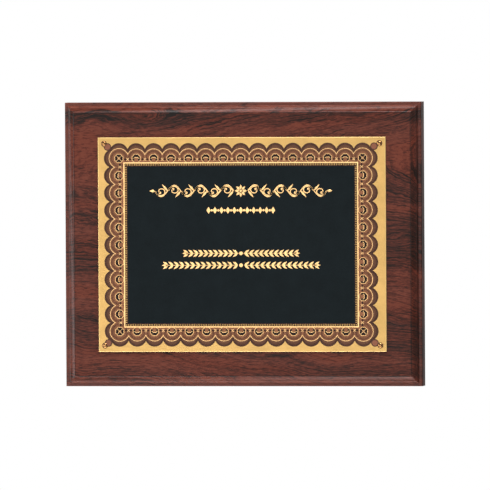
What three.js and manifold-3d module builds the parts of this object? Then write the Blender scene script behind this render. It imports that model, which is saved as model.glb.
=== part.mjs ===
// A walnut award plaque. A solid walnut board with a moulded front edge carries a thin brass
// plate, held on by four domed brass pins. Two steel keyhole hangers are let into the back, one
// for hanging the plaque landscape and one for hanging it portrait, with two screws each.
//
// Millimetres. X runs to the right, Z up, and the plaque faces -Y. The origin is the centre of
// the back, which lies against the wall.
import * as THREE from "three";
import { mergeVertices } from "three/addons/utils/BufferGeometryUtils.js";
import Module from "manifold-3d";

const board = { width: 254, height: 200, thickness: 19, backChamfer: 0.5 };

// The moulding run round the front edge, from the face outwards: a small steep quirk, a sloping
// border, an ogee of a round and a hollow, and a narrow flat lip with its corner eased.
const moulding = {
  width: 7,
  quirk: { width: 0.4, drop: 0.5 },
  bevel: { width: 2.9, drop: 1.5 },
  round: { width: 0.8, drop: 1.6 },
  hollow: { width: 0.8, drop: 1.6 },
  easedCorner: 0.6,
};

const plate = { width: 205, height: 151, thickness: 0.8, chamfer: 0.25, holeRadius: 0.8 };

const pin = {
  edgeDistance: 4.4,
  headRadius: 1.6,
  headHeight: 1,
  rim: 0.2,
  shankRadius: 0.6,
  length: 12.5,
  point: 1.6,
};

// A hanger is a strip with round ends: a wall screw's head enters the round hole, and its
// shank then rides up the slot.
const hanger = {
  length: 46,
  width: 16,
  thickness: 1.2,
  screwSpacing: 36,
  holeRadius: 4.75,
  holeDrop: 5,
  slotWidth: 4.8,
  slotTop: 7.5,
  edgeDistance: 34,
};

const pocket = { width: 12, length: 24, depth: 10 };

const screw = {
  headRadius: 2.9,
  shankRadius: 1.1,
  threadRadius: 1.4,
  threadPitch: 1.2,
  length: 12.5,
  point: 2.4,
  unthreaded: 2.6,
};
const recess = { reach: 1.5, blade: 0.7, depth: 1.1 };

// Clearances between pieces that don't touch.
const gap = { hangerEdge: 0.3, pinHole: 0.2, screwHole: 0.3, countersink: 0.15 };

const OVERRUN = 1; // how far a cutter starts and ends outside the piece it cuts
const ARC_STEPS = 10;
const HOLE_SIDES = 24;
const PIN_SIDES = 24;
const SCREW_SIDES = 16;
const HEAD_STEPS = 6;

const faceY = -board.thickness;
const plateFrontY = faceY - plate.thickness;

const walnut = new THREE.MeshStandardMaterial({ color: 0x5c372f, roughness: 0.42, metalness: 0 });
const brass = new THREE.MeshStandardMaterial({ color: 0xe8b56d, roughness: 0.35, metalness: 1 });
const pinBrass = new THREE.MeshStandardMaterial({ color: 0xe9bd74, roughness: 0.18, metalness: 1 });
const zincSteel = new THREE.MeshStandardMaterial({ color: 0xb9bcc0, roughness: 0.38, metalness: 1 });
const screwSteel = new THREE.MeshStandardMaterial({ color: 0xc7b27a, roughness: 0.32, metalness: 1 });

const wasm = await Module();
wasm.setup();

// A closed geometry as a solid that can be cut.
function toSolid(geometry) {
  const bare = new THREE.BufferGeometry();
  bare.setAttribute("position", geometry.getAttribute("position"));
  bare.setIndex(geometry.index);
  const merged = mergeVertices(bare);
  const mesh = new wasm.Mesh({
    numProp: 3,
    vertProperties: merged.getAttribute("position").array,
    triVerts: new Uint32Array(merged.index.array),
  });
  return new wasm.Manifold(mesh);
}

function toGeometry(solid) {
  const mesh = solid.getMesh();
  const geometry = new THREE.BufferGeometry();
  geometry.setAttribute("position", new THREE.BufferAttribute(mesh.vertProperties, 3));
  geometry.setIndex(new THREE.BufferAttribute(mesh.triVerts, 1));
  const flat = geometry.toNonIndexed();
  flat.computeVertexNormals();
  return flat;
}

function cut(solid, ...cutters) {
  return cutters.reduce((left, cutter) => left.subtract(toSolid(cutter)), solid);
}

// Extrudes a sketch of the plaque's plane, drawn with X to the right and Z up, from the plane
// at backY towards the front.
function slab(sketch, backY, thickness) {
  const geometry = new THREE.ExtrudeGeometry(sketch, {
    depth: thickness,
    bevelEnabled: false,
    curveSegments: HOLE_SIDES / 2,
  });
  return geometry.rotateX(Math.PI / 2).translate(0, backY, 0);
}

function rectangle(width, height) {
  return new THREE.Shape()
    .moveTo(-width / 2, -height / 2)
    .lineTo(width / 2, -height / 2)
    .lineTo(width / 2, height / 2)
    .lineTo(-width / 2, height / 2);
}

// A strip along Z with round ends, from bottom to top over all.
function stadium(width, bottom, top) {
  const radius = width / 2;
  return new THREE.Shape()
    .absarc(0, top - radius, radius, 0, Math.PI, false)
    .absarc(0, bottom + radius, radius, Math.PI, 2 * Math.PI, false);
}

// A round hole's cutter along Y, from y down to y - depth.
function drill(radius, x, y, z, depth) {
  const bit = new THREE.CylinderGeometry(radius, radius, depth, HOLE_SIDES);
  return bit.translate(x, y - depth / 2, z);
}

// Runs a cutter round the four front or back edges of a panel, as a router does. The waste is
// drawn as a section with X outwards from the panel's edge and Y backwards from the plane y.
function routEdges(panel, width, height, y, waste) {
  const cutters = [0, 1, 2, 3].map((turn) => {
    const across = turn % 2 ? height : width;
    const along = turn % 2 ? width : height;
    const run = along + 2 * OVERRUN;
    const cutter = new THREE.ExtrudeGeometry(waste, {
      depth: run,
      bevelEnabled: false,
      curveSegments: ARC_STEPS,
    });
    return cutter.translate(across / 2, y, -run / 2).rotateY((turn * Math.PI) / 2);
  });
  return cut(panel, ...cutters);
}

// The waste of a chamfer. It faces the front where side is 1, and the back where it is -1.
function chamferWaste(size, side) {
  return new THREE.Shape()
    .moveTo(-size, 0)
    .lineTo(0, side * size)
    .lineTo(OVERRUN, side * size)
    .lineTo(OVERRUN, -side * OVERRUN)
    .lineTo(-size, -side * OVERRUN);
}

function mouldingWaste() {
  const { width, quirk, bevel, round, hollow, easedCorner } = moulding;
  const quirkX = quirk.width - width;
  const bevelX = quirkX + bevel.width;
  const bevelY = quirk.drop + bevel.drop;
  const swellX = bevelX + round.width;
  const swellY = bevelY + round.drop;
  const shoulderY = bevelY + (round.width * bevel.drop) / bevel.width;
  const lipX = swellX + hollow.width;
  const lipY = swellY + hollow.drop;
  return new THREE.Shape()
    .moveTo(-width, -OVERRUN)
    .lineTo(-width, 0)
    .lineTo(quirkX, quirk.drop)
    .lineTo(bevelX, bevelY)
    .quadraticCurveTo(swellX, shoulderY, swellX, swellY)
    .absellipse(lipX, swellY, hollow.width, hollow.drop, Math.PI, Math.PI / 2, true)
    .lineTo(-easedCorner, lipY)
    .absarc(-easedCorner, lipY + easedCorner, easedCorner, -Math.PI / 2, 0, false)
    .lineTo(OVERRUN, lipY + easedCorner)
    .lineTo(OVERRUN, -OVERRUN);
}

const pinPlaces = [
  { name: "top_left", x: -1, z: 1 },
  { name: "top_right", x: 1, z: 1 },
  { name: "bottom_left", x: -1, z: -1 },
  { name: "bottom_right", x: 1, z: -1 },
].map(({ name, x, z }) => ({
  name,
  x: x * (plate.width / 2 - pin.edgeDistance),
  z: z * (plate.height / 2 - pin.edgeDistance),
}));

// Where each hanger sits. The portrait one is turned so that its slot points to the side that
// is then the top.
const hangerPlaces = [
  { name: "landscape", x: 0, z: board.height / 2 - hanger.edgeDistance, turn: 0 },
  { name: "portrait", x: -(board.width / 2 - hanger.edgeDistance), z: 0, turn: -Math.PI / 2 },
];

const screwPlaces = [
  { name: "upper", z: hanger.screwSpacing / 2 },
  { name: "lower", z: -hanger.screwSpacing / 2 },
];

// What is cut out of the back for one hanger, in the hanger's own frame: a shallow mortise for
// its strip, a deep pocket for the wall screw's head and a hole for each of its screws.
function hangerCuts() {
  const mortise = stadium(
    hanger.width + 2 * gap.hangerEdge,
    -hanger.length / 2 - gap.hangerEdge,
    hanger.length / 2 + gap.hangerEdge,
  );
  const headRoom = stadium(pocket.width, -pocket.length / 2, pocket.length / 2);
  const holes = screwPlaces.map(({ z }) =>
    drill(screw.threadRadius + gap.screwHole, 0, OVERRUN, z, screw.length + 2 * OVERRUN),
  );
  return [
    slab(mortise, OVERRUN, hanger.thickness + OVERRUN),
    slab(headRoom, OVERRUN, pocket.depth + OVERRUN),
    ...holes,
  ];
}

function makeBoard() {
  let solid = toSolid(slab(rectangle(board.width, board.height), 0, board.thickness));
  solid = routEdges(solid, board.width, board.height, faceY, mouldingWaste());
  solid = routEdges(solid, board.width, board.height, 0, chamferWaste(board.backChamfer, -1));
  for (const { x, z, turn } of hangerPlaces) {
    const place = new THREE.Matrix4().makeRotationY(turn).setPosition(x, 0, z);
    solid = cut(solid, ...hangerCuts().map((cutter) => cutter.applyMatrix4(place)));
  }
  const pinDepth = pin.length - plate.thickness + OVERRUN;
  const pinHoles = pinPlaces.map(({ x, z }) =>
    drill(pin.shankRadius + gap.pinHole, x, faceY + pinDepth, z, pinDepth + OVERRUN),
  );
  return toGeometry(cut(solid, ...pinHoles));
}

function makePlate() {
  const sheet = toSolid(slab(rectangle(plate.width, plate.height), faceY, plate.thickness));
  const waste = chamferWaste(plate.chamfer, 1);
  const chamfered = routEdges(sheet, plate.width, plate.height, plateFrontY, waste);
  const holes = pinPlaces.map(({ x, z }) =>
    drill(plate.holeRadius, x, faceY + OVERRUN, z, plate.thickness + 2 * OVERRUN),
  );
  return toGeometry(cut(chamfered, ...holes));
}

// A pin along Y with its domed head towards the front, and y = 0 under the head.
function makePin() {
  const profile = [new THREE.Vector2(0, pin.length)];
  profile.push(new THREE.Vector2(pin.shankRadius, pin.length - pin.point));
  profile.push(new THREE.Vector2(pin.shankRadius, 0));
  profile.push(new THREE.Vector2(pin.headRadius, 0));
  for (let i = 0; i < HEAD_STEPS; i++) {
    const angle = ((i / HEAD_STEPS) * Math.PI) / 2;
    const dome = pin.headHeight - pin.rim;
    const height = pin.rim + dome * Math.sin(angle);
    profile.push(new THREE.Vector2(pin.headRadius * Math.cos(angle), -height));
  }
  profile.push(new THREE.Vector2(0, -pin.headHeight));
  return new THREE.LatheGeometry(profile.reverse(), PIN_SIDES);
}

// A hanger in its own frame, with its slot pointing up Z and its outer face at y = 0.
function makeHanger() {
  const outline = stadium(hanger.width, -hanger.length / 2, hanger.length / 2);
  const strip = toSolid(slab(outline, 0, hanger.thickness));
  const through = hanger.thickness + 2 * OVERRUN;
  const slot = stadium(hanger.slotWidth, -hanger.holeDrop, hanger.slotTop);
  const countersinks = screwPlaces.map(({ z }) => {
    const top = screw.headRadius + gap.countersink + OVERRUN;
    const cone = new THREE.ConeGeometry(top, top, HOLE_SIDES);
    return cone.rotateX(Math.PI).translate(0, OVERRUN - top / 2, z);
  });
  const screwHoles = screwPlaces.map(({ z }) =>
    drill(screw.threadRadius + gap.screwHole, 0, OVERRUN, z, through),
  );
  return toGeometry(
    cut(
      strip,
      drill(hanger.holeRadius, 0, OVERRUN, -hanger.holeDrop, through),
      slab(slot, OVERRUN, through),
      ...countersinks,
      ...screwHoles,
    ),
  );
}

// A countersunk wood screw along Y with its head at y = 0 and its point towards the front. Its
// thread is a row of ridges, and a cross recess is cut in its head.
function makeScrew() {
  const neck = screw.shankRadius - screw.headRadius;
  const profile = [
    new THREE.Vector2(0, 0),
    new THREE.Vector2(screw.headRadius, 0),
    new THREE.Vector2(screw.shankRadius, neck),
    new THREE.Vector2(screw.shankRadius, -screw.unthreaded),
  ];
  const threadEnd = -(screw.length - screw.point);
  for (let y = -screw.unthreaded; y - screw.threadPitch > threadEnd; y -= screw.threadPitch) {
    profile.push(new THREE.Vector2(screw.threadRadius, y - screw.threadPitch / 2));
    profile.push(new THREE.Vector2(screw.shankRadius, y - screw.threadPitch));
  }
  profile.push(new THREE.Vector2(screw.shankRadius, threadEnd));
  profile.push(new THREE.Vector2(0, -screw.length));
  const body = toSolid(new THREE.LatheGeometry(profile.reverse(), SCREW_SIDES));
  const height = recess.depth + OVERRUN;
  const blades = [0, Math.PI / 2].map((angle) =>
    new THREE.BoxGeometry(2 * recess.reach, height, recess.blade)
      .translate(0, OVERRUN - height / 2, 0)
      .rotateY(angle),
  );
  return toGeometry(cut(body, ...blades));
}

function named(name, geometry, material) {
  const mesh = new THREE.Mesh(geometry, material);
  mesh.name = name;
  return mesh;
}

const plaque = new THREE.Group();
plaque.add(named("walnut_board", makeBoard(), walnut));
plaque.add(named("brass_plate", makePlate(), brass));

const pinGeometry = makePin();
for (const { name, x, z } of pinPlaces) {
  const mesh = named(`plate_pin_${name}`, pinGeometry, pinBrass);
  mesh.position.set(x, plateFrontY, z);
  plaque.add(mesh);
}

const hangerGeometry = makeHanger();
const screwGeometry = makeScrew();
for (const { name, x, z, turn } of hangerPlaces) {
  const group = new THREE.Group();
  group.position.set(x, 0, z);
  group.rotation.y = turn;
  group.add(named(`keyhole_hanger_${name}`, hangerGeometry, zincSteel));
  for (const place of screwPlaces) {
    const mesh = named(`hanger_screw_${name}_${place.name}`, screwGeometry, screwSteel);
    mesh.position.z = place.z;
    group.add(mesh);
  }
  plaque.add(group);
}

export default plaque;
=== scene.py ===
"""A walnut award plaque: its wood, brass, enamel and steel, the border and ornament on its plate,
and the light and camera. Blender's lengths are in metres, and sizes here are in millimetres
times MM."""
import math

import bmesh
import bpy
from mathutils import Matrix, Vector
from mathutils.geometry import tessellate_polygon


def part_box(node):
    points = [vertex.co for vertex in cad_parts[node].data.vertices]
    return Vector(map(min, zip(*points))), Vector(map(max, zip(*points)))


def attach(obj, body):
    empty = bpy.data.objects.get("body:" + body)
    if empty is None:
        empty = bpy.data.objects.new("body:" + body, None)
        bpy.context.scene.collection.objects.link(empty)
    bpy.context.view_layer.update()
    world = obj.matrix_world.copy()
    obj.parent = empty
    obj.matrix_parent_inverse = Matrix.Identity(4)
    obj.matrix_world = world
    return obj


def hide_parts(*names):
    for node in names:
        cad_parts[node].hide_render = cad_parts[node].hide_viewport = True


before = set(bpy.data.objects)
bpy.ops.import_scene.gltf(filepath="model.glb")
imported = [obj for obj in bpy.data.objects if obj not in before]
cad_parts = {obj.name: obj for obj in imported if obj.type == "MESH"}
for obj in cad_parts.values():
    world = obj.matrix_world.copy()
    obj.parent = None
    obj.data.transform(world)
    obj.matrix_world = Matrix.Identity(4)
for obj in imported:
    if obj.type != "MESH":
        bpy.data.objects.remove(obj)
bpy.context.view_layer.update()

MM = 0.001
BODY = "root"

# ---------------------------------------------------------------- places taken from the frame

board_low, board_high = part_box("walnut_board")
plate_low, plate_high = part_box("brass_plate")
PLATE_FRONT = plate_low.y


# ---------------------------------------------------------------- colours and node trees

def srgb(red, green, blue):
    """A colour given as 0 to 255 display values, as linear values with alpha."""
    def linear(value):
        value /= 255
        return value / 12.92 if value <= 0.04045 else ((value + 0.055) / 1.055) ** 2.4
    return (linear(red), linear(green), linear(blue), 1.0)


class Shader:
    """A material's node tree. Each call adds one node and returns an output socket of it."""

    def __init__(self, name):
        self.material = bpy.data.materials.new(name)
        self.material.use_nodes = True
        self.tree = self.material.node_tree
        self.surface = self.tree.nodes["Principled BSDF"]

    def add(self, kind, inputs=None, output=0, **settings):
        node = self.tree.nodes.new("ShaderNode" + kind)
        for key, value in settings.items():
            setattr(node, key, value)
        self.feed(node, inputs or {})
        return node.outputs[output]

    def feed(self, node, inputs):
        for key, value in inputs.items():
            if isinstance(value, bpy.types.NodeSocket):
                self.tree.links.new(value, node.inputs[key])
            else:
                node.inputs[key].default_value = value

    def set(self, **inputs):
        """Sets the surface's own sockets: base_color=... is the socket Base Color."""
        names = {s.name.lower().replace(" ", "_"): s.name for s in self.surface.inputs}
        self.feed(self.surface, {names[key]: value for key, value in inputs.items()})

    def math(self, operation, first, second=0.0, clamp=False):
        return self.add("Math", {0: first, 1: second}, operation=operation, use_clamp=clamp)

    def position(self):
        """The position in the plaque's frame, in millimetres."""
        place = self.add("TexCoord", output="Object")
        return self.add("VectorMath", {0: place, 1: (1 / MM,) * 3}, operation="MULTIPLY")

    def split(self, vector):
        node = self.add("SeparateXYZ", {0: vector}).node
        return node.outputs[0], node.outputs[1], node.outputs[2]

    def noise(self, vector, size, detail=3.0, roughness=0.5):
        """Noise from 0 to 1 whose features are about size = (x, y, z) millimetres."""
        scaled = self.add("VectorMath", {0: vector, 1: size}, operation="DIVIDE")
        inputs = {"Vector": scaled, "Scale": 1.0, "Detail": detail, "Roughness": roughness}
        return self.add("TexNoise", inputs)

    def smooth(self, value, low, high, start=0.0, end=1.0):
        """A smooth step of the value from low to high, running from start to end."""
        inputs = {"Value": value, "From Min": low, "From Max": high, "To Min": start, "To Max": end}
        return self.add("MapRange", inputs, interpolation_type="SMOOTHSTEP")

    def ramp(self, value, *stops):
        node = self.add("ValToRGB", {0: value}).node
        points = node.color_ramp.elements
        while len(points) < len(stops):
            points.new(0.5)
        for point, (place, colour) in zip(points, stops):
            point.position = place
            point.color = colour
        return node.outputs[0]

    def mix(self, factor, first, second, blend="MIX"):
        inputs = {0: factor, 6: first, 7: second}
        return self.add("Mix", inputs, output=2, data_type="RGBA", blend_type=blend)

    def bump(self, height, strength, distance):
        inputs = {"Height": height, "Strength": strength, "Distance": distance}
        return self.add("Bump", inputs)

    def inset(self, x, z, corner):
        """How far in from the nearest edge of a centred rectangle, in millimetres."""
        from_end = self.math("SUBTRACT", corner.x / MM, self.math("ABSOLUTE", x))
        from_long_edge = self.math("SUBTRACT", corner.z / MM, self.math("ABSOLUTE", z))
        return self.math("MINIMUM", from_end, from_long_edge)


# ---------------------------------------------------------------- wood

# The heart of the tree runs lengthwise behind the board. The trunk tapers along X, which draws
# the rings out into pointed arches on the face.
PITH = {"y": 12, "z": 60, "taper": -0.13}

MOULDING = 7.0  # the moulding's width, in millimetres
LIP = -13.2  # where the moulding's outer edge is in Y
RIGHT_SHADE_START = 119.5  # where in X the painted shade on the right-hand moulding begins

# Dark streaks in the wood that run the length of the board: the heights of the lower and the
# upper edge at the left end, the same at the right end, and how dark the streak is.
STREAKS = [
    (82, 93, 87, 94, 0.85),
    (50, 58, 44, 55, 0.30),
    (10, 24, 28, 52, 0.55),
    (-22, 4, -18, 22, 0.70),
    (-74, -50, -80, -44, 0.55),
    (-96, -88, -95, -88, 0.30),
]


def streaks(shader, x, z):
    along = shader.smooth(x, -127, 127)
    total = None
    for low_left, high_left, low_right, high_right, depth in STREAKS:
        low = shader.add("MapRange", {"Value": along, "To Min": low_left, "To Max": low_right})
        high = shader.add("MapRange", {"Value": along, "To Min": high_left, "To Max": high_right})
        above = shader.smooth(shader.math("SUBTRACT", z, low), -2.5, 3.5, 0, depth)
        below = shader.smooth(shader.math("SUBTRACT", high, z), -3.5, 2.5, 0, 1)
        band = shader.math("MULTIPLY", above, below)
        total = band if total is None else shader.math("ADD", total, band)
    return total


def weighted_sum(shader, start, terms):
    total = start
    for term, weight in terms:
        total = shader.math("ADD", total, shader.math("MULTIPLY", term, weight))
    return total


def make_walnut():
    shader = Shader("walnut")
    place = shader.position()
    x, y, z = shader.split(place)

    sway = shader.math("SUBTRACT", shader.noise(place, (95, 60, 42), 2), 0.5)
    ripple = shader.math("SUBTRACT", shader.noise(place, (24, 12, 9), 3), 0.5)
    curl = shader.math("SUBTRACT", shader.noise(place, (6, 3, 2.4), 2), 0.5)
    drift = weighted_sum(shader, 0.0, [(sway, 30), (ripple, 4), (curl, 1.1)])

    from_pith = shader.add(
        "VectorMath",
        {0: shader.add("CombineXYZ", {
            1: shader.math("SUBTRACT", y, PITH["y"]),
            2: shader.math("SUBTRACT", z, PITH["z"]),
        })},
        output=1, operation="LENGTH",
    )
    taper = shader.math("MULTIPLY", x, PITH["taper"])
    ring = shader.math("ADD", shader.math("ADD", from_pith, taper), drift)

    # The figure lies along the rings, so it is looked up by ring and by length.
    figure = shader.add("CombineXYZ", {0: x, 1: ring})
    warmth = shader.smooth(shader.noise(figure, (220, 12, 1), 2), 0.42, 0.6)
    broad = shader.smooth(shader.noise(figure, (300, 8, 1), 3, 0.6), 0.38, 0.66)
    lines = shader.smooth(shader.noise(figure, (60, 1.3, 1), 3, 0.7), 0.48, 0.62)
    hairs = shader.smooth(shader.noise(figure, (16, 0.55, 1), 2, 0.7), 0.44, 0.60)

    # Pores are short dark dashes along the fibres, and dots in the end grain.
    pores = shader.smooth(shader.noise(place, (4.5, 0.6, 0.6), 2, 0.5), 0.54, 0.64)
    mottle = shader.math("SUBTRACT", shader.noise(place, (4.2, 1.6, 1.3), 3, 0.7), 0.5)

    lifted = weighted_sum(shader, z, [(sway, 10), (ripple, 12), (curl, 3)])
    band = streaks(shader, x, lifted)
    banded_lines = shader.math("MULTIPLY", band, lines)
    dark = weighted_sum(shader, 0.02, [
        (warmth, -0.09),
        (band, 0.3),
        (banded_lines, 0.5),
        (broad, 0.16),
        (lines, 0.24),
        (hairs, 0.2),
        (pores, 0.26),
        (mottle, 1.0),
    ])

    # The moulding is cut into paler wood, and the face is darker in a band about a millimetre wide along
    # its edge with the moulding.
    inset = shader.inset(x, z, board_high)
    on_front = shader.smooth(y, LIP, LIP + 0.5, 1, 0)
    moulded = shader.math("MULTIPLY", shader.smooth(inset, MOULDING - 0.2, MOULDING, 1, 0), on_front)
    fading = shader.smooth(inset, MOULDING, MOULDING + 1.1, 0.3, 0)
    not_moulded = shader.math("SUBTRACT", on_front, moulded)
    face_edge_band = shader.math("MULTIPLY", fading, not_moulded)
    # The right-hand moulding is painted darker: painted shade, for the side turned away from the light.
    right_moulding_shade = shader.math("MULTIPLY", shader.smooth(x, RIGHT_SHADE_START, RIGHT_SHADE_START + 1.5), moulded)
    dark = weighted_sum(shader, dark, [(moulded, -0.14), (face_edge_band, 1.0), (right_moulding_shade, 0.15)])

    # End grain soaks up more finish and shows darker.
    normal_x = shader.split(shader.add("NewGeometry", output="Normal"))[0]
    end_grain = shader.smooth(shader.math("ABSOLUTE", normal_x), 0.1, 0.5, 0, 0.22)
    dark = shader.math("ADD", dark, end_grain, clamp=True)

    colour = shader.ramp(
        dark,
        (0.0, srgb(121, 65, 51)),
        (0.3, srgb(96, 48, 38)),
        (0.6, srgb(62, 36, 30)),
        (1.0, srgb(30, 25, 23)),
    )
    redder = shader.mix(shader.math("MULTIPLY", warmth, 0.8), colour, (1.0, 0.84, 0.74, 1.0), "MULTIPLY")
    relief = weighted_sum(shader, 0.0, [(pores, -0.7), (hairs, -0.3)])
    shader.set(
        base_color=redder,
        roughness=shader.smooth(inset, MOULDING - 0.2, MOULDING, 0.3, 0.5),
        normal=shader.bump(relief, 0.35, 0.05 * MM),
        specular_ior_level=0.22,
    )
    return shader.material


# ---------------------------------------------------------------- metals and enamels

def make_brass(name, colour, roughness, brushing):
    """Gold brass. The brushing is fine scratches along X, the lacquer has a slow mottle, and the
    plate's sheared rim is painted brighter: a painted highlight where its edge catches the light.
    The brushing's strength is the last argument."""
    shader = Shader(name)
    place = shader.position()
    x, _, z = shader.split(place)
    # A painted highlight: the base colour brightens towards the plate's edge, where its rim would catch
    # the light.
    painted_rim_highlight = shader.smooth(shader.inset(x, z, plate_high), 0.2, 0.75, 0.5, 0)
    scratches = shader.noise(place, (9, 1, 0.12), 3, 0.7)
    cloud = shader.noise(place, (14, 14, 14), 3, 0.6)
    speckle = shader.noise(place, (0.6, 0.6, 0.6), 2, 0.6)
    tone = shader.math("ADD", shader.math("MULTIPLY", cloud, 0.7), shader.math("MULTIPLY", speckle, 0.3))
    darker = tuple(0.86 * value for value in colour[:3]) + (1.0,)
    satin = shader.mix(shader.smooth(tone, 0.35, 0.65), darker, colour)
    shader.set(
        base_color=shader.mix(painted_rim_highlight, satin, srgb(255, 226, 158)),
        metallic=1.0,
        roughness=shader.smooth(scratches, 0.3, 0.7, roughness - 0.05, roughness + 0.06),
        normal=shader.bump(scratches, brushing, 0.02 * MM),
    )
    return shader.material


def make_enamel(name, colour, variation, roughness, specular):
    """Printed enamel: an even colour with a slow drift and a slight orange peel."""
    shader = Shader(name)
    place = shader.position()
    drift = shader.noise(place, (11, 11, 11), 3, 0.6)
    grain = shader.noise(place, (0.7, 0.7, 0.7), 3, 0.6)
    tone = shader.math("ADD", shader.math("MULTIPLY", drift, 0.5), shader.math("MULTIPLY", grain, 0.5))
    low = tuple((1 - variation) * value for value in colour[:3]) + (1.0,)
    high = tuple((1 + variation) * value for value in colour[:3]) + (1.0,)
    shader.set(
        base_color=shader.mix(shader.smooth(tone, 0.3, 0.7), low, high),
        roughness=roughness,
        specular_ior_level=specular,
        normal=shader.bump(grain, 0.25, 0.02 * MM),
    )
    return shader.material


def make_plated_steel(name, colour, tarnish):
    """Zinc-plated steel: a spangled grey or yellow metal with duller, darker patches."""
    shader = Shader(name)
    place = shader.position()
    spangle = shader.add("TexVoronoi", {"Vector": place, "Scale": 0.9}, output="Distance")
    patches = shader.noise(place, (6, 6, 6), 4, 0.6)
    scratches = shader.noise(place, (0.3, 4, 7), 3, 0.7)
    base = shader.mix(shader.smooth(patches, 0.4, 0.75), colour, tarnish)
    shader.set(
        base_color=shader.mix(shader.smooth(spangle, 0.1, 0.7, 0, 0.35), base, tarnish),
        metallic=1.0,
        roughness=shader.smooth(patches, 0.3, 0.7, 0.28, 0.46),
        normal=shader.bump(scratches, 0.3, 0.02 * MM),
    )
    return shader.material


WALNUT = make_walnut()
GOLD = make_brass("satin_gold_brass", srgb(224, 181, 111), 0.38, 0.18)
GOLD_LINE = make_brass("bright_gold_line", srgb(247, 202, 139), 0.30, 0.05)
PIN_BRASS = make_brass("polished_pin_brass", srgb(214, 160, 104), 0.13, 0.04)
BLACK = make_enamel("black_enamel", srgb(23, 31, 34), 0.16, 0.55, 0.1)
UMBER = make_enamel("umber_enamel", srgb(92, 62, 50), 0.20, 0.5, 0.2)
BROWN = make_enamel("brown_enamel", srgb(124, 84, 62), 0.18, 0.5, 0.2)
COPPER = make_enamel("copper_enamel", srgb(160, 106, 74), 0.16, 0.5, 0.2)
ROSE = make_enamel("rose_enamel", srgb(150, 92, 66), 0.12, 0.4, 0.3)
SEPIA = make_enamel("sepia_enamel", srgb(40, 29, 26), 0.2, 0.5, 0.2)
HATCH = make_enamel("hatching_enamel", srgb(68, 42, 34), 0.2, 0.5, 0.2)
ZINC = make_plated_steel("zinc_plated_steel", srgb(196, 198, 202), srgb(140, 143, 148))
YELLOW_ZINC = make_plated_steel("yellow_zinc_steel", srgb(214, 190, 128), srgb(158, 136, 88))


# ---------------------------------------------------------------- meshes

def add_piece(name, mesh, material, slot, *nodes):
    """A piece fixed to the plaque's body. It replaces the CAD nodes named last, if any."""
    piece = bpy.data.objects.new(name, mesh)
    bpy.context.scene.collection.objects.link(piece)
    mesh.materials.clear()
    mesh.materials.append(material)
    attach(piece, BODY)
    if nodes:
        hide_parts(*nodes)
    return piece


def finish_mesh(name, builder, smooth_angle=None):
    """The bmesh as a mesh, with its normals facing out and its sharp edges kept sharp."""
    bmesh.ops.recalc_face_normals(builder, faces=builder.faces)
    mesh = bpy.data.meshes.new(name)
    builder.to_mesh(mesh)
    builder.free()
    if smooth_angle is not None:
        mesh.shade_smooth()
        mesh.set_sharp_from_angle(angle=math.radians(smooth_angle))
    return mesh


def soften(node, ease, material, slot, smooth_angle=30):
    """Stands for a CAD node with its sharp edges eased. Faces that meet at less than the smooth
    angle, in degrees, are shaded as one surface."""
    builder = bmesh.new()
    builder.from_mesh(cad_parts[node].data)
    bmesh.ops.remove_doubles(builder, verts=builder.verts, dist=0.002 * MM)
    bmesh.ops.dissolve_limit(
        builder, angle_limit=math.radians(0.5), verts=builder.verts, edges=builder.edges
    )
    sharp = [e for e in builder.edges if e.is_manifold and e.calc_face_angle() > math.radians(40)]
    bmesh.ops.bevel(
        builder, geom=sharp, offset=ease, segments=3, profile=0.5, affect="EDGES", clamp_overlap=True
    )
    mesh = finish_mesh(node + "_eased", builder, smooth_angle)
    return add_piece(node + "_eased", mesh, material, slot, node)


def lathe(name, profile, centre, sides):
    """A mesh turned about Y, from (radius, y) points that start and end on the axis."""
    builder = bmesh.new()
    rings = []
    for radius, y in profile:
        if radius == 0:
            rings.append([builder.verts.new((centre.x, centre.y + y, centre.z))] * sides)
            continue
        ring = []
        for i in range(sides):
            angle = 2 * math.pi * i / sides
            offset = Vector((radius * math.cos(angle), y, radius * math.sin(angle)))
            ring.append(builder.verts.new(centre + offset))
        rings.append(ring)
    for low, high in zip(rings, rings[1:]):
        for i in range(sides):
            j = (i + 1) % sides
            corners = list(dict.fromkeys((low[i], low[j], high[j], high[i])))
            builder.faces.new(corners)
    return finish_mesh(name, builder, 35)


# ---------------------------------------------------------------- flat work on the plate
#
# The border and the ornament are drawn in the plate's own plane, as (x, z) from its centre,
# and stand a few hundredths of a millimetre proud of it.

SUNK = 0.02 * MM  # how far the underside of the flat work lies in the brass
STROKE_TOP = 0.8  # the flat top of a stroke, as a share of its width


def at_height(point, height):
    """The place in the frame of a point of the print, at a height over the brass."""
    return Vector((point[0] + PRINT_OFFSET.x, PLATE_FRONT - height, point[1] + PRINT_OFFSET.y))


def add_slab(builder, outline, height, holes=()):
    """A flat-topped raised shape with upright sides: an outline, and the outlines of its holes."""
    loops = [outline, *holes]
    tops, bottoms = [], []
    for loop in loops:
        top = [builder.verts.new(at_height(point, height)) for point in loop]
        bottom = [builder.verts.new(at_height(point, -SUNK)) for point in loop]
        for i in range(len(loop)):
            j = (i + 1) % len(loop)
            builder.faces.new((top[i], top[j], bottom[j], bottom[i]))
        tops += top
        bottoms += bottom
    flat = [[Vector((x, z, 0)) for x, z in loop] for loop in loops]
    for triangle in tessellate_polygon(flat):
        builder.faces.new([tops[i] for i in triangle])
        builder.faces.new([bottoms[i] for i in reversed(triangle)])


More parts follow.
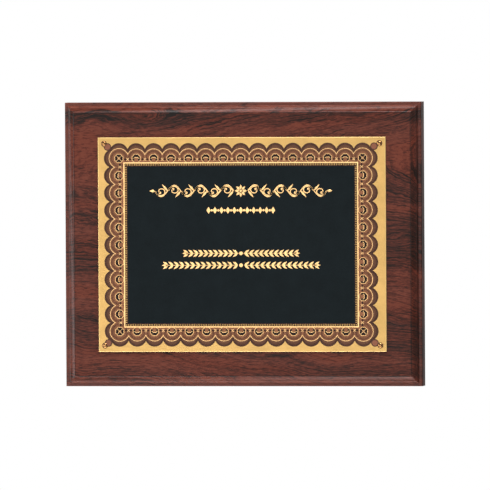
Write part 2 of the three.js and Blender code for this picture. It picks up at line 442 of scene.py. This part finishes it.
def add_stroke(builder, points, widths, height):
    """A raised line of changing width, with a flat top and sloping sides."""
    sections = []
    for i, point in enumerate(points):
        before = points[max(i - 1, 0)]
        after = points[min(i + 1, len(points) - 1)]
        along = (after - before).normalized()
        across = Vector((-along.y, along.x)) * widths[i] / 2
        sections.append([
            builder.verts.new(at_height(point + across, -SUNK)),
            builder.verts.new(at_height(point + across * STROKE_TOP, height)),
            builder.verts.new(at_height(point - across * STROKE_TOP, height)),
            builder.verts.new(at_height(point - across, -SUNK)),
        ])
    for first, second in zip(sections, sections[1:]):
        for i in range(4):
            j = (i + 1) % 4
            builder.faces.new((first[i], first[j], second[j], second[i]))
    builder.faces.new(sections[0])
    builder.faces.new(reversed(sections[-1]))


def flat_work(name, material, build):
    """One piece of flat work: build adds its shapes to the empty bmesh it is given."""
    builder = bmesh.new()
    build(builder)
    return add_piece(name, finish_mesh(name, builder), material, "engraved_brass")


def rectangle(half_width, half_height):
    return [
        Vector((-half_width, -half_height)),
        Vector((half_width, -half_height)),
        Vector((half_width, half_height)),
        Vector((-half_width, half_height)),
    ]


def disc(centre, radius, sides=20):
    return [
        centre + radius * Vector((math.cos(2 * math.pi * i / sides), math.sin(2 * math.pi * i / sides)))
        for i in range(sides)
    ]


def turned(vector, angle):
    """The vector turned by an angle, anticlockwise."""
    cosine, sine = math.cos(angle), math.sin(angle)
    return Vector((cosine * vector.x - sine * vector.y, sine * vector.x + cosine * vector.y))


# The border is a row of equal units round the plate, with one at each corner.
PITCH = Vector((12.4 * MM, 12.2 * MM))  # across and up
UNITS_ACROSS = 14
UNITS_UP = 10
CORNER = Vector((UNITS_ACROSS * PITCH.x / 2, UNITS_UP * PITCH.y / 2))
PRINT_OFFSET = Vector((-0.7 * MM, -0.2 * MM))  # the print sits a little off the plate's middle
ARC_RADIUS = 6.75 * MM
CORNER_ARC_RADIUS = 7 * MM
RIM_OFFSET = 4 * MM  # from a unit's gold arc out to the border's scalloped rim
SHADE_WIDTH = 1.3 * MM  # the darkest part of the border, along its rim
ARC_LINE = 0.3 * MM
FRAME_HALF = Vector((83.2 * MM, 57.8 * MM))
FRAME_LINE = 0.8 * MM
FIELD_HALF = Vector((80.8 * MM, 55.3 * MM))

# How high the top of each layer of flat work stands over the brass.
HEIGHT = {
    "shade": 0.02 * MM,
    "outer": 0.03 * MM,
    "inner": 0.04 * MM,
    "ticks": 0.05 * MM,
    "hatching": 0.055 * MM,
    "field": 0.06 * MM,
    "dark": 0.07 * MM,
    "base": 0.085 * MM,
    "gold": 0.1 * MM,
    "ornament": 0.12 * MM,
    "frame": 0.14 * MM,
}


def border_units():
    """(centre, outward direction, whether it is a corner), clockwise from the top left."""
    units = []
    outward = Vector((0, 1))
    along = Vector((1, 0))
    start = Vector((-CORNER.x, CORNER.y))
    for count in (UNITS_ACROSS, UNITS_UP, UNITS_ACROSS, UNITS_UP):
        diagonal = (outward - along).normalized()
        units.append((start.copy(), diagonal, True))
        step = along * abs(along.dot(PITCH))
        for i in range(1, count):
            units.append((start + step * i, outward.copy(), False))
        start = start + step * count
        outward, along = turned(outward, -math.pi / 2), turned(along, -math.pi / 2)
    return units


UNITS = border_units()


def crossing(first, second):
    """Where two circles (centre, radius) cross, on the side away from the plate's centre."""
    (a, ra), (b, rb) = first, second
    apart = b - a
    distance = apart.length
    reach = (ra * ra - rb * rb + distance * distance) / (2 * distance)
    rise = math.sqrt(max(ra * ra - reach * reach, 0))
    along = apart / distance
    side = Vector((-along.y, along.x)) * rise
    return max((a + along * reach + side, a + along * reach - side), key=lambda p: p.length)


def scallops(circles, steps=12):
    """The outline of a ring of overlapping circles, going clockwise."""
    points = []
    for i, circle in enumerate(circles):
        centre, radius = circle
        start = crossing(circles[i - 1], circle) - centre
        end = crossing(circle, circles[(i + 1) % len(circles)]) - centre
        first = math.atan2(start.y, start.x)
        sweep = (first - math.atan2(end.y, end.x)) % (2 * math.pi)
        count = steps if sweep < math.pi else 2 * steps
        for step in range(count):
            angle = first - sweep * step / count
            points.append(centre + radius * Vector((math.cos(angle), math.sin(angle))))
    return points


def arc_circles(grow=0.0):
    return [
        (centre, (CORNER_ARC_RADIUS if corner else ARC_RADIUS) + grow)
        for centre, outward, corner in UNITS
    ]


def rim_circles(grow=0.0):
    """A corner unit has two, one for each of the sides that meet there."""
    circles = []
    for centre, outward, corner in UNITS:
        for turn in (math.pi / 4, -math.pi / 4) if corner else (0,):
            circles.append((centre + turned(outward, turn) * RIM_OFFSET, ARC_RADIUS + grow))
    return circles


# A bead lies outside each corner unit, on a dark ground that reaches towards the plate's pin.
BEAD = {"distance": 11.5 * MM, "radius": 2 * MM, "ground": 2.7 * MM, "pin_ground": 2.1 * MM}


# The layers of the border lie over each other like cards, each a little higher than the last.

def build_shade(builder):
    add_slab(builder, scallops(rim_circles()), HEIGHT["shade"])


def build_outer_band(builder):
    add_slab(builder, scallops(rim_circles(-SHADE_WIDTH)), HEIGHT["outer"])


def build_inner_band(builder):
    add_slab(builder, scallops(arc_circles()), HEIGHT["inner"])


def corner_beads():
    return [centre + outward * BEAD["distance"] for centre, outward, corner in UNITS if corner]


def build_bead_grounds_and_pin_shadows(builder):
    """The dark rings printed round the corner beads, and dark rings round the pins that are painted
    shadows.
    """
    for place in corner_beads():
        add_slab(builder, disc(place, BEAD["ground"], 32), HEIGHT["hatching"])
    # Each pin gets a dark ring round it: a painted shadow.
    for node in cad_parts:
        if node.startswith("plate_pin"):
            low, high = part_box(node)
            pin = Vector(((low.x + high.x) / 2, (low.z + high.z) / 2)) - PRINT_OFFSET
            add_slab(builder, disc(pin, BEAD["pin_ground"], 32), HEIGHT["inner"])


def build_beads(builder):
    for place in corner_beads():
        add_slab(builder, disc(place, BEAD["radius"], 28), HEIGHT["dark"])


def build_arc_lines(builder):
    outer = scallops(arc_circles(ARC_LINE / 2))
    inner = scallops(arc_circles(-ARC_LINE / 2))
    add_slab(builder, outer, HEIGHT["gold"], [inner])


def add_wedge(builder, centre, direction, near, far, width, height):
    """One tapered line of hatching: widest two thirds of the way out."""
    across = Vector((-direction.y, direction.x)) * width / 2
    wide = centre + direction * (near + 0.65 * (far - near))
    outline = [
        centre + direction * near,
        wide - across,
        centre + direction * far,
        wide + across,
    ]
    add_slab(builder, outline, height)


# Fine dark lines fan out from each unit's centre, on both sides of its gold arc. The spreads are
# to either side of straight out.
HATCHING = {
    "step": math.radians(5),
    "outer_width": 0.42 * MM,
    "inner_width": 0.42 * 0.7 * MM,
    "inner_near": 3.7 * MM,
    "gap": 0.35 * MM,
    "rim_gap": 0.1 * MM,
    "inner_spread": math.radians(92),
    "corner_inner_spread": math.radians(178),
    "outer_spread": math.radians(52),
    "corner_outer_spread": math.radians(97),
}


def fan(outward, spread):
    """(angle, direction) of each line of hatching to within the spread of straight out."""
    count = round(spread / HATCHING["step"])
    for i in range(-count, count + 1):
        angle = i * HATCHING["step"]
        yield angle, turned(outward, angle)


def hatch_inner(builder, centre, outward, corner):
    """The hatching between a unit's rosette and its gold arc."""
    for angle, direction in fan(outward, HATCHING["corner_inner_spread" if corner else "inner_spread"]):
        far = (CORNER_ARC_RADIUS if corner else ARC_RADIUS) - HATCHING["gap"]
        sideways = abs(math.sin(angle))
        if not corner and sideways * far > PITCH.y / 2:
            far = PITCH.y / 2 / sideways
        if inside_frame(centre + direction * far):
            continue
        near, width = HATCHING["inner_near"], HATCHING["inner_width"]
        add_wedge(builder, centre, direction, near, far, width, HEIGHT["hatching"])


def hatch_outer(builder, centre, outward, corner):
    """The hatching between a unit's gold arc and the scalloped rim."""
    near = (CORNER_ARC_RADIUS if corner else ARC_RADIUS) + HATCHING["gap"]
    for angle, direction in fan(outward, HATCHING["corner_outer_spread" if corner else "outer_spread"]):
        from_rim = abs(angle) - math.pi / 4 if corner else abs(angle)
        over = RIM_OFFSET * math.cos(from_rim)
        far = over + math.sqrt(ARC_RADIUS**2 - (RIM_OFFSET * math.sin(from_rim)) ** 2)
        far = min(far, PITCH.y / 2 / max(math.sin(from_rim), 0.01)) - HATCHING["rim_gap"]
        add_wedge(builder, centre, direction, near, far, HATCHING["outer_width"], HEIGHT["hatching"])


def build_hatching(builder):
    for centre, outward, corner in UNITS:
        hatch_inner(builder, centre, outward, corner)
        hatch_outer(builder, centre, outward, corner)


def inside_frame(point):
    return abs(point.x) < FRAME_HALF.x and abs(point.y) < FRAME_HALF.y


# Each unit holds a rosette: a lobed gold outline round dark petals. In a corner it has a gold
# cross and eye, and on a straight side the petals go round a copper disc, under a gold crown.
ROSETTE = {
    "lobes": 8,
    "radius": 3 * MM,
    "swing": 0.32 * MM,
    "line": 0.28 * MM,
    "petal_distance": 1.95 * MM,
    "petal_radius": 0.95 * MM,
    "petal_reach": math.radians(115),
    "cross": 0.26 * MM,
    "eye": 0.45 * MM,
    "base_radius": 1.35 * MM,
    "base_inward": 1.1 * MM,
    "crown": 0.42 * MM,
}
# The crown's points, as (angle from straight out, distance from the unit's centre).
CROWN = [(-95, 1.9 * MM), (-45, 1.15 * MM), (0, 0.55 * MM), (45, 1.15 * MM), (95, 1.9 * MM)]


def lobed(centre, outward, radius, count=64):
    """The outline of a rosette."""
    points = []
    for i in range(count):
        angle = 2 * math.pi * i / count
        swell = abs(math.cos(ROSETTE["lobes"] * angle / 2 + math.pi / 2))
        points.append(centre + turned(outward, angle) * (radius + ROSETTE["swing"] * (swell - 0.5)))
    return points


def petal_angles(corner):
    """The petals go all the way round in a corner, and round the outer part elsewhere."""
    turn = 2 * math.pi / ROSETTE["lobes"]
    places = [turn * (i + 0.5) for i in range(ROSETTE["lobes"])]
    centred = [(angle + math.pi) % (2 * math.pi) - math.pi for angle in places]
    return centred if corner else [angle for angle in centred if abs(angle) < ROSETTE["petal_reach"]]


def build_rosette_lines(builder):
    line = ROSETTE["line"] / 2
    for centre, outward, corner in UNITS:
        outer = lobed(centre, outward, ROSETTE["radius"] + line)
        inner = lobed(centre, outward, ROSETTE["radius"] - line)
        add_slab(builder, outer, HEIGHT["gold"], [inner])
        if corner:
            for turn in (0, math.pi / 2):
                arm = turned(outward, turn) * ROSETTE["radius"]
                cross = [centre - arm, centre, centre + arm]
                add_stroke(builder, cross, [ROSETTE["cross"]] * len(cross), HEIGHT["gold"])
            add_slab(builder, disc(centre, ROSETTE["eye"]), HEIGHT["gold"])
            continue
        crown = [centre + turned(outward, math.radians(angle)) * radius for angle, radius in CROWN]
        add_stroke(builder, crown, [ROSETTE["crown"]] * len(crown), HEIGHT["gold"])


def build_bases(builder):
    for centre, outward, corner in UNITS:
        if not corner:
            place = centre - outward * ROSETTE["base_inward"]
            add_slab(builder, disc(place, ROSETTE["base_radius"], 24), HEIGHT["base"])


def build_petals(builder):
    for centre, outward, corner in UNITS:
        for angle in petal_angles(corner):
            place = centre + turned(outward, angle) * ROSETTE["petal_distance"]
            add_slab(builder, disc(place, ROSETTE["petal_radius"], 14), HEIGHT["dark"])


# Between two units is a knot: a gold cross with a dark lozenge on either side.
KNOT = {
    "reach": 1.3 * MM,
    "line": 0.36 * MM,
    "lean": math.radians(52),
    "inward": 0.7 * MM,
    "lozenge_distance": 1.8 * MM,
    "half_length": 1.02 * MM,
    "half_width": 0.68 * MM,
}


def knots():
    """(centre, direction along the row) of each gap between two neighbouring units."""
    places = []
    for i, (centre, outward, corner) in enumerate(UNITS):
        following = UNITS[(i + 1) % len(UNITS)]
        middle = (centre + following[0]) / 2
        along = (following[0] - centre).normalized()
        inward = Vector((along.y, -along.x))
        places.append((middle + inward * KNOT["inward"], along))
    return places


def build_knot_lines(builder):
    for centre, along in knots():
        for angle in (KNOT["lean"], -KNOT["lean"]):
            arm = turned(along, angle) * KNOT["reach"]
            line = [centre - arm, centre, centre + arm]
            add_stroke(builder, line, [KNOT["line"]] * len(line), HEIGHT["gold"])


def build_lozenges(builder):
    for centre, along in knots():
        across = turned(along, math.pi / 2)
        for side in (-1, 1):
            middle = centre + along * side * KNOT["lozenge_distance"]
            outline = [
                middle - along * KNOT["half_length"],
                middle - across * KNOT["half_width"],
                middle + along * KNOT["half_length"],
                middle + across * KNOT["half_width"],
            ]
            add_slab(builder, outline, HEIGHT["dark"])


def build_frame_line(builder):
    half = FRAME_LINE / 2
    outer = rectangle(FRAME_HALF.x + half, FRAME_HALF.y + half)
    inner = rectangle(FRAME_HALF.x - half, FRAME_HALF.y - half)
    add_slab(builder, outer, HEIGHT["frame"], [inner])


# Inside the frame line runs a row of short gold ticks, down to the black field.
TICKS = {"per_pitch": 10, "width": 0.4 * MM, "gap": 0.25 * MM, "length": 1.25 * MM}


def build_tick_ground(builder):
    add_slab(builder, rectangle(FRAME_HALF.x, FRAME_HALF.y), HEIGHT["ticks"])


def build_ticks(builder):
    inner = FRAME_HALF - Vector((1, 1)) * FRAME_LINE / 2
    spacing = PITCH.x / TICKS["per_pitch"]
    half = TICKS["width"] / 2
    for outward, edge, run in (
        (Vector((0, 1)), inner.y, inner.x - TICKS["width"]),
        (Vector((1, 0)), inner.x, FIELD_HALF.y),
        (Vector((0, -1)), inner.y, inner.x - TICKS["width"]),
        (Vector((-1, 0)), inner.x, FIELD_HALF.y),
    ):
        along = turned(outward, -math.pi / 2)
        count = int(run / spacing)
        for i in range(-count, count + 1):
            foot = outward * (edge - TICKS["gap"]) + along * i * spacing
            tip = foot - outward * TICKS["length"]
            outline = [foot - along * half, tip - along * half, tip + along * half, foot + along * half]
            add_slab(builder, outline, HEIGHT["gold"])


def build_field(builder):
    add_slab(builder, rectangle(FIELD_HALF.x, FIELD_HALF.y), HEIGHT["field"])


# ---------------------------------------------------------------- ornament on the black field

# The heading is a running vine, alike on both sides of a rosette: a waving stem with a tendril
# curled into each wave and a leaf where the stem crosses its middle.
VINE = {
    "middle": 38 * MM,
    "half_length": 61.5 * MM,
    "start": 5.2 * MM,
    "waves": 6,
    "rise": 4 * MM,
    "stem": 1.25 * MM,
    "stem_taper": 0.45,  # how much of its width the stem loses by its end
    "leaf_reach": 0.42,  # in waves
    "leaf_drop": 4.6 * MM,
    "leaf_width": 1.7 * MM,
    "end_leaf_length": 3.6 * MM,
    "end_leaf_width": 1.9 * MM,
    "flower": 4.4 * MM,
}
STEPS_PER_WAVE = 18

# A tendril is a spiral. Its radius is in waves.
TENDRIL = {
    "width": 1.05 * MM,
    "taper": 0.4,
    "turns": 1.15,
    "start_radius": 0.42,
    "end_radius": 0.14,
    "flatness": 0.85,
    "lift": 0.4 * MM,
    "bud": 0.9 * MM,
    "steps": 24,
}


def build_vine(builder):
    centre = Vector((0, VINE["middle"]))
    length = (VINE["half_length"] - VINE["start"]) / VINE["waves"]
    for side in (-1, 1):
        def place(along, up):
            return centre + Vector((side * (VINE["start"] + along), up))

        count = VINE["waves"] * STEPS_PER_WAVE
        stem = [
            place(length * i / STEPS_PER_WAVE, VINE["rise"] * math.sin(math.pi * i / STEPS_PER_WAVE))
            for i in range(count + 1)
        ]
        taper = [VINE["stem"] * (1 - VINE["stem_taper"] * i / count) for i in range(count + 1)]
        add_stroke(builder, stem, taper, HEIGHT["ornament"])
        for wave in range(VINE["waves"]):
            up = 1 if wave % 2 == 0 else -1
            add_tendril(builder, place, wave, up, length)
            foot = place(wave * length, 0)
            leaf = place((wave + VINE["leaf_reach"]) * length, -up * VINE["leaf_drop"]) - foot
            add_leaf(builder, foot, leaf.normalized(), leaf.length, VINE["leaf_width"])
        end = place(VINE["waves"] * length, 0)
        add_leaf(builder, end, Vector((side, 0)), VINE["end_leaf_length"], VINE["end_leaf_width"])
    add_flower(builder, centre, VINE["flower"])


def add_tendril(builder, place, wave, up, length):
    """A spiral that leaves the stem where a wave ends and curls up inside it, to a bud."""
    middle = (wave + 0.5) * length
    shrink = TENDRIL["start_radius"] - TENDRIL["end_radius"]
    points = []
    widths = []
    for i in range(TENDRIL["steps"] + 1):
        share = i / TENDRIL["steps"]
        angle = 2 * math.pi * TENDRIL["turns"] * share
        radius = length * (TENDRIL["start_radius"] - shrink * share)
        along = middle + radius * math.cos(angle)
        rise = up * (TENDRIL["lift"] + TENDRIL["flatness"] * radius * math.sin(angle))
        points.append(place(along, rise))
        widths.append(TENDRIL["width"] * (1 - TENDRIL["taper"] * share))
    add_stroke(builder, points, widths, HEIGHT["ornament"])
    add_slab(builder, disc(points[-1], TENDRIL["bud"], 16), HEIGHT["ornament"])


def add_flower(builder, centre, radius):
    """Eight leaves round a bead."""
    for i in range(8):
        direction = turned(Vector((1, 0)), i * math.pi / 4)
        add_leaf(builder, centre + direction * radius * 0.26, direction, radius * 0.74, radius * 0.42)
    add_slab(builder, disc(centre, radius * 0.2, 20), HEIGHT["ornament"])


# Under the heading is a row of lozenges with a bead between each two.
BEADING = {
    "middle": 24.3 * MM,
    "pitch": 4.6 * MM,
    "count": 5,  # to either side of the middle one
    "half_height": 2.4 * MM,
    "half_width": 1.488 * MM,
    "bead": 0.8 * MM,
}


def build_beading(builder):
    for i in range(-BEADING["count"], BEADING["count"] + 1):
        centre = Vector((i * BEADING["pitch"], BEADING["middle"]))
        across = Vector((BEADING["half_width"], 0))
        up = Vector((0, BEADING["half_height"]))
        lozenge = [centre - across, centre - up, centre + across, centre + up]
        add_slab(builder, lozenge, HEIGHT["ornament"])
        if i < BEADING["count"]:
            bead = centre + Vector((BEADING["pitch"] / 2, 0))
            add_slab(builder, disc(bead, BEADING["bead"], 16), HEIGHT["ornament"])


# Two laurel garlands, as (height of the middle, half the length).
GARLANDS = [(-6 * MM, 42 * MM), (-14.4 * MM, 56.5 * MM)]
LAUREL = {
    "bead": 1.3 * MM,
    "stem": 0.42 * MM,
    "first_leaf": 2.4 * MM,
    "leaf_length": 4.3 * MM,
    "leaf_width": 1.75 * MM,
    "pitch": 3.7 * MM,
    "lean": math.radians(36),
}
LEAF_POINT = 0.12 * MM


def add_leaf(builder, foot, direction, length, width):
    """A pointed leaf, widest nearer its foot."""
    steps = 8
    points = [foot + direction * length * i / steps for i in range(steps + 1)]
    widths = [max(width * math.sin(math.pi * (i / steps) ** 0.8), LEAF_POINT) for i in range(steps + 1)]
    add_stroke(builder, points, widths, HEIGHT["ornament"])


def build_garlands(builder):
    """In each garland two sprays meet at a bead, their leaves in pairs."""
    length, width = LAUREL["leaf_length"], LAUREL["leaf_width"]
    for middle, half in GARLANDS:
        centre = Vector((0, middle))
        add_slab(builder, disc(centre, LAUREL["bead"], 24), HEIGHT["ornament"])
        for side in (-1, 1):
            along = Vector((side, 0))
            stem = [centre + along * half * i / 24 for i in range(1, 24)]
            add_stroke(builder, stem, [LAUREL["stem"]] * len(stem), HEIGHT["gold"])
            reach = half - length - LAUREL["first_leaf"]
            count = round(reach / LAUREL["pitch"])
            for i in range(count + 1):
                foot = centre + along * (LAUREL["first_leaf"] + reach * i / count)
                for angle in (LAUREL["lean"], -LAUREL["lean"]):
                    add_leaf(builder, foot, turned(along, angle), length, width)
            add_leaf(builder, centre + along * (half - length), along, length, width)


# ---------------------------------------------------------------- pieces

PIN = {"rim": 0.25 * MM, "rolled": 0.12 * MM, "under": 0.1 * MM, "shank": 0.6 * MM, "point": 1.6 * MM}
DOME_STEPS = 14


def make_pin(name):
    """A domed pin: its head has a rolled rim, and its shank tapers to a point."""
    low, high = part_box(name)
    head = (high.x - low.x) / 2
    top = PLATE_FRONT - low.y
    tip = high.y - PLATE_FRONT
    centre = Vector(((low.x + high.x) / 2, PLATE_FRONT, (low.z + high.z) / 2))
    profile = [
        (0, tip),
        (PIN["shank"], tip - PIN["point"]),
        (PIN["shank"], 0),
        (head - PIN["rolled"], 0),
        (head, -PIN["under"]),
        (head, -PIN["rim"]),
    ]
    for i in range(1, DOME_STEPS):
        angle = i / DOME_STEPS * math.pi / 2
        profile.append((head * math.cos(angle), -PIN["rim"] - (top - PIN["rim"]) * math.sin(angle)))
    profile.append((0, -top))
    add_piece(name + "_turned", lathe(name, profile, centre, 48), PIN_BRASS, "pin_brass", name)


def make_plate_art():
    """The border from its shade upwards, then the black field and the ornament on it."""
    flat_work("border_shade", UMBER, build_shade)
    flat_work("border_outer_band", BROWN, build_outer_band)
    flat_work("border_inner_band", COPPER, build_inner_band)
    flat_work("border_bead_grounds", UMBER, build_bead_grounds_and_pin_shadows)
    flat_work("border_corner_beads", ROSE, build_beads)
    flat_work("border_hatching", HATCH, build_hatching)
    flat_work("border_arc_lines", GOLD_LINE, build_arc_lines)
    flat_work("rosette_petals", SEPIA, build_petals)
    flat_work("rosette_bases", COPPER, build_bases)
    flat_work("rosette_lines", GOLD_LINE, build_rosette_lines)
    flat_work("knot_lozenges", SEPIA, build_lozenges)
    flat_work("knot_lines", GOLD_LINE, build_knot_lines)
    flat_work("frame_line", GOLD_LINE, build_frame_line)
    flat_work("tick_ground", HATCH, build_tick_ground)
    flat_work("frame_ticks", GOLD, build_ticks)
    flat_work("enamel_field", BLACK, build_field)
    flat_work("heading_vine", GOLD_LINE, build_vine)
    flat_work("beading_row", GOLD_LINE, build_beading)
    flat_work("laurel_garlands", GOLD_LINE, build_garlands)


soften("walnut_board", 0.15 * MM, WALNUT, "walnut")
soften("brass_plate", 0.06 * MM, GOLD, "engraved_brass", 5)
make_plate_art()
for node in sorted(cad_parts):
    if node.startswith("plate_pin"):
        make_pin(node)
    elif node.startswith("keyhole_hanger"):
        soften(node, 0.12 * MM, ZINC, "zinc_steel")
    elif node.startswith("hanger_screw"):
        soften(node, 0.05 * MM, YELLOW_ZINC, "screw_steel")


# ---------------------------------------------------------------- stage, light and camera

FLOOR = {"radius": 3, "drop": 1.2}


def make_floor():
    """A round pale floor well below the plaque, which hangs."""
    builder = bmesh.new()
    centre = Vector((0, 0, board_low.z - FLOOR["drop"]))
    bmesh.ops.create_circle(builder, cap_ends=True, segments=96, radius=FLOOR["radius"])
    bmesh.ops.translate(builder, vec=centre, verts=builder.verts)
    shader = Shader("pale_floor")
    shader.set(base_color=srgb(236, 236, 234), roughness=0.8)
    mesh = finish_mesh("floor", builder)
    mesh.materials.append(shader.material)
    floor = bpy.data.objects.new("floor", mesh)
    bpy.context.scene.collection.objects.link(floor)


FILL = 0.16  # the strength of the even light from all round


def make_world():
    """White behind the plaque, and a softer, even light on it."""
    world = bpy.data.worlds.new("studio")
    bpy.context.scene.world = world
    world.use_nodes = True
    nodes, links = world.node_tree.nodes, world.node_tree.links
    seen = nodes["Background"]
    seen.inputs["Color"].default_value = (1, 1, 1, 1)
    seen.inputs["Strength"].default_value = 1.0
    light = nodes.new("ShaderNodeBackground")
    light.inputs["Color"].default_value = (1, 1, 1, 1)
    light.inputs["Strength"].default_value = FILL
    path = nodes.new("ShaderNodeLightPath")
    mix = nodes.new("ShaderNodeMixShader")
    links.new(path.outputs["Is Camera Ray"], mix.inputs[0])
    links.new(light.outputs[0], mix.inputs[1])
    links.new(seen.outputs[0], mix.inputs[2])
    links.new(mix.outputs[0], nodes["World Output"].inputs["Surface"])


def softbox(name, place, width, height, power):
    """A rectangular area light that faces the plaque."""
    light = bpy.data.lights.new(name, "AREA")
    light.shape = "RECTANGLE"
    light.size = width
    light.size_y = height
    light.energy = power
    lamp = bpy.data.objects.new(name, light)
    lamp.location = place
    lamp.rotation_euler = (-Vector(place)).to_track_quat("-Z", "Y").to_euler()
    bpy.context.scene.collection.objects.link(lamp)


CAMERA = {
    "azimuth": 9,
    "elevation": 1.4,
    "roll": -0.31,
    "distance": 10,
    "lens": 1042.0,
    "aim": Vector((-1.0 * MM, 0, -0.85 * MM)),
    "clip_end": 40,
}


def make_camera():
    data = bpy.data.cameras.new("camera")
    data.lens = CAMERA["lens"]
    data.clip_end = CAMERA["clip_end"]
    camera = bpy.data.objects.new("camera", data)
    azimuth = math.radians(CAMERA["azimuth"])
    elevation = math.radians(CAMERA["elevation"])
    towards = Vector((
        math.sin(azimuth) * math.cos(elevation),
        -math.cos(azimuth) * math.cos(elevation),
        math.sin(elevation),
    ))
    camera.location = CAMERA["aim"] + towards * CAMERA["distance"]
    turn = (-towards).to_track_quat("-Z", "Y").to_euler()
    turn.rotate_axis("Z", math.radians(CAMERA["roll"]))
    camera.rotation_euler = turn
    bpy.context.scene.collection.objects.link(camera)
    bpy.context.scene.camera = camera


make_floor()
make_world()
# The front light shows in the brass. The others graze the board and bring out its moulding.
softbox("front", (-0.75, -3.4, -0.3), 1.5, 1.5, 17.3)
softbox("top", (0.3, -0.6, 1.9), 1.8, 0.8, 50)
softbox("left", (-2.2, -0.4, 0), 0.9, 1.8, 26)
softbox("below", (-0.1, -0.25, -1.1), 1.4, 0.4, 8.5)
softbox("right", (2.4, -0.45, 0.4), 1.0, 1.4, 4)
softbox("back", (1.2, 2.6, 1.2), 1.5, 1.5, 22)
make_camera()
bpy.context.scene.view_settings.view_transform = "Standard"
